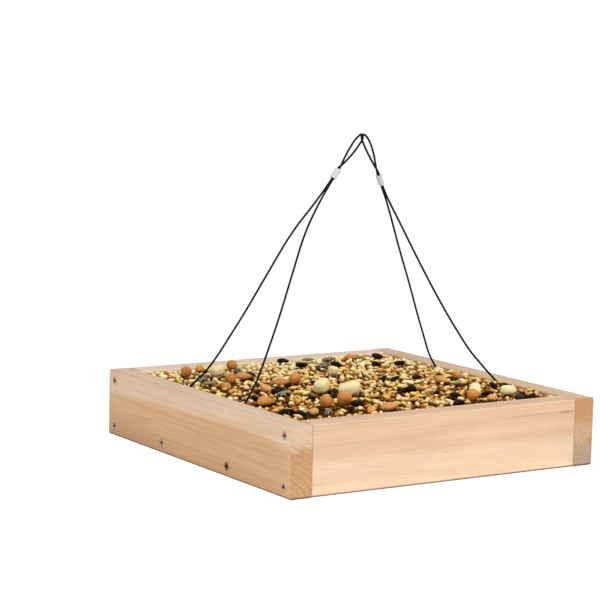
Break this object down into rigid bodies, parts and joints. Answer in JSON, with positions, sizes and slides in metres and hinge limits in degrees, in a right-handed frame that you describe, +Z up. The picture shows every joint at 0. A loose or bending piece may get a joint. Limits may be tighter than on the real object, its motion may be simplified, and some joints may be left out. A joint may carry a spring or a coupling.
{
  "type": "platform bird feeder",
  "caption": "Square cedar tray feeder with butt-jointed boards, a drop-in metal seed tray, a heap of mixed seed and two coated steel hanging cords.",
  "frame": {"origin": "on the surface the tray stands on, under the middle of the tray", "axes": "+Z up, -Y towards the front end board, -X towards the side board that the left cord is fixed in"},
  "size_m": [0.332, 0.332, 0.301],
  "materials": {
    "cedar_board": "sanded, unfinished",
    "zinc_screw": "zinc plated",
    "tray_metal": "mill finish",
    "seed": "dry, matt",
    "black_cord": "satin coating over steel cable",
    "ferrule_metal": "satin"
  },
  "bodies": {
    "root": {"side_board_left": "cedar_board", "side_board_right": "cedar_board", "end_board_front": "cedar_board", "end_board_back": "cedar_board", "cross_brace_front": "cedar_board", "cross_brace_back": "cedar_board", "corner_screws": "zinc_screw", "brace_screws": "zinc_screw", "seed_tray": "tray_metal", "seed_mix": "seed", "hanger_cord_left": "black_cord", "hanger_cord_right": "black_cord", "ferrule_left": "ferrule_metal", "ferrule_right": "ferrule_metal"}
  },
  "joints": []
}
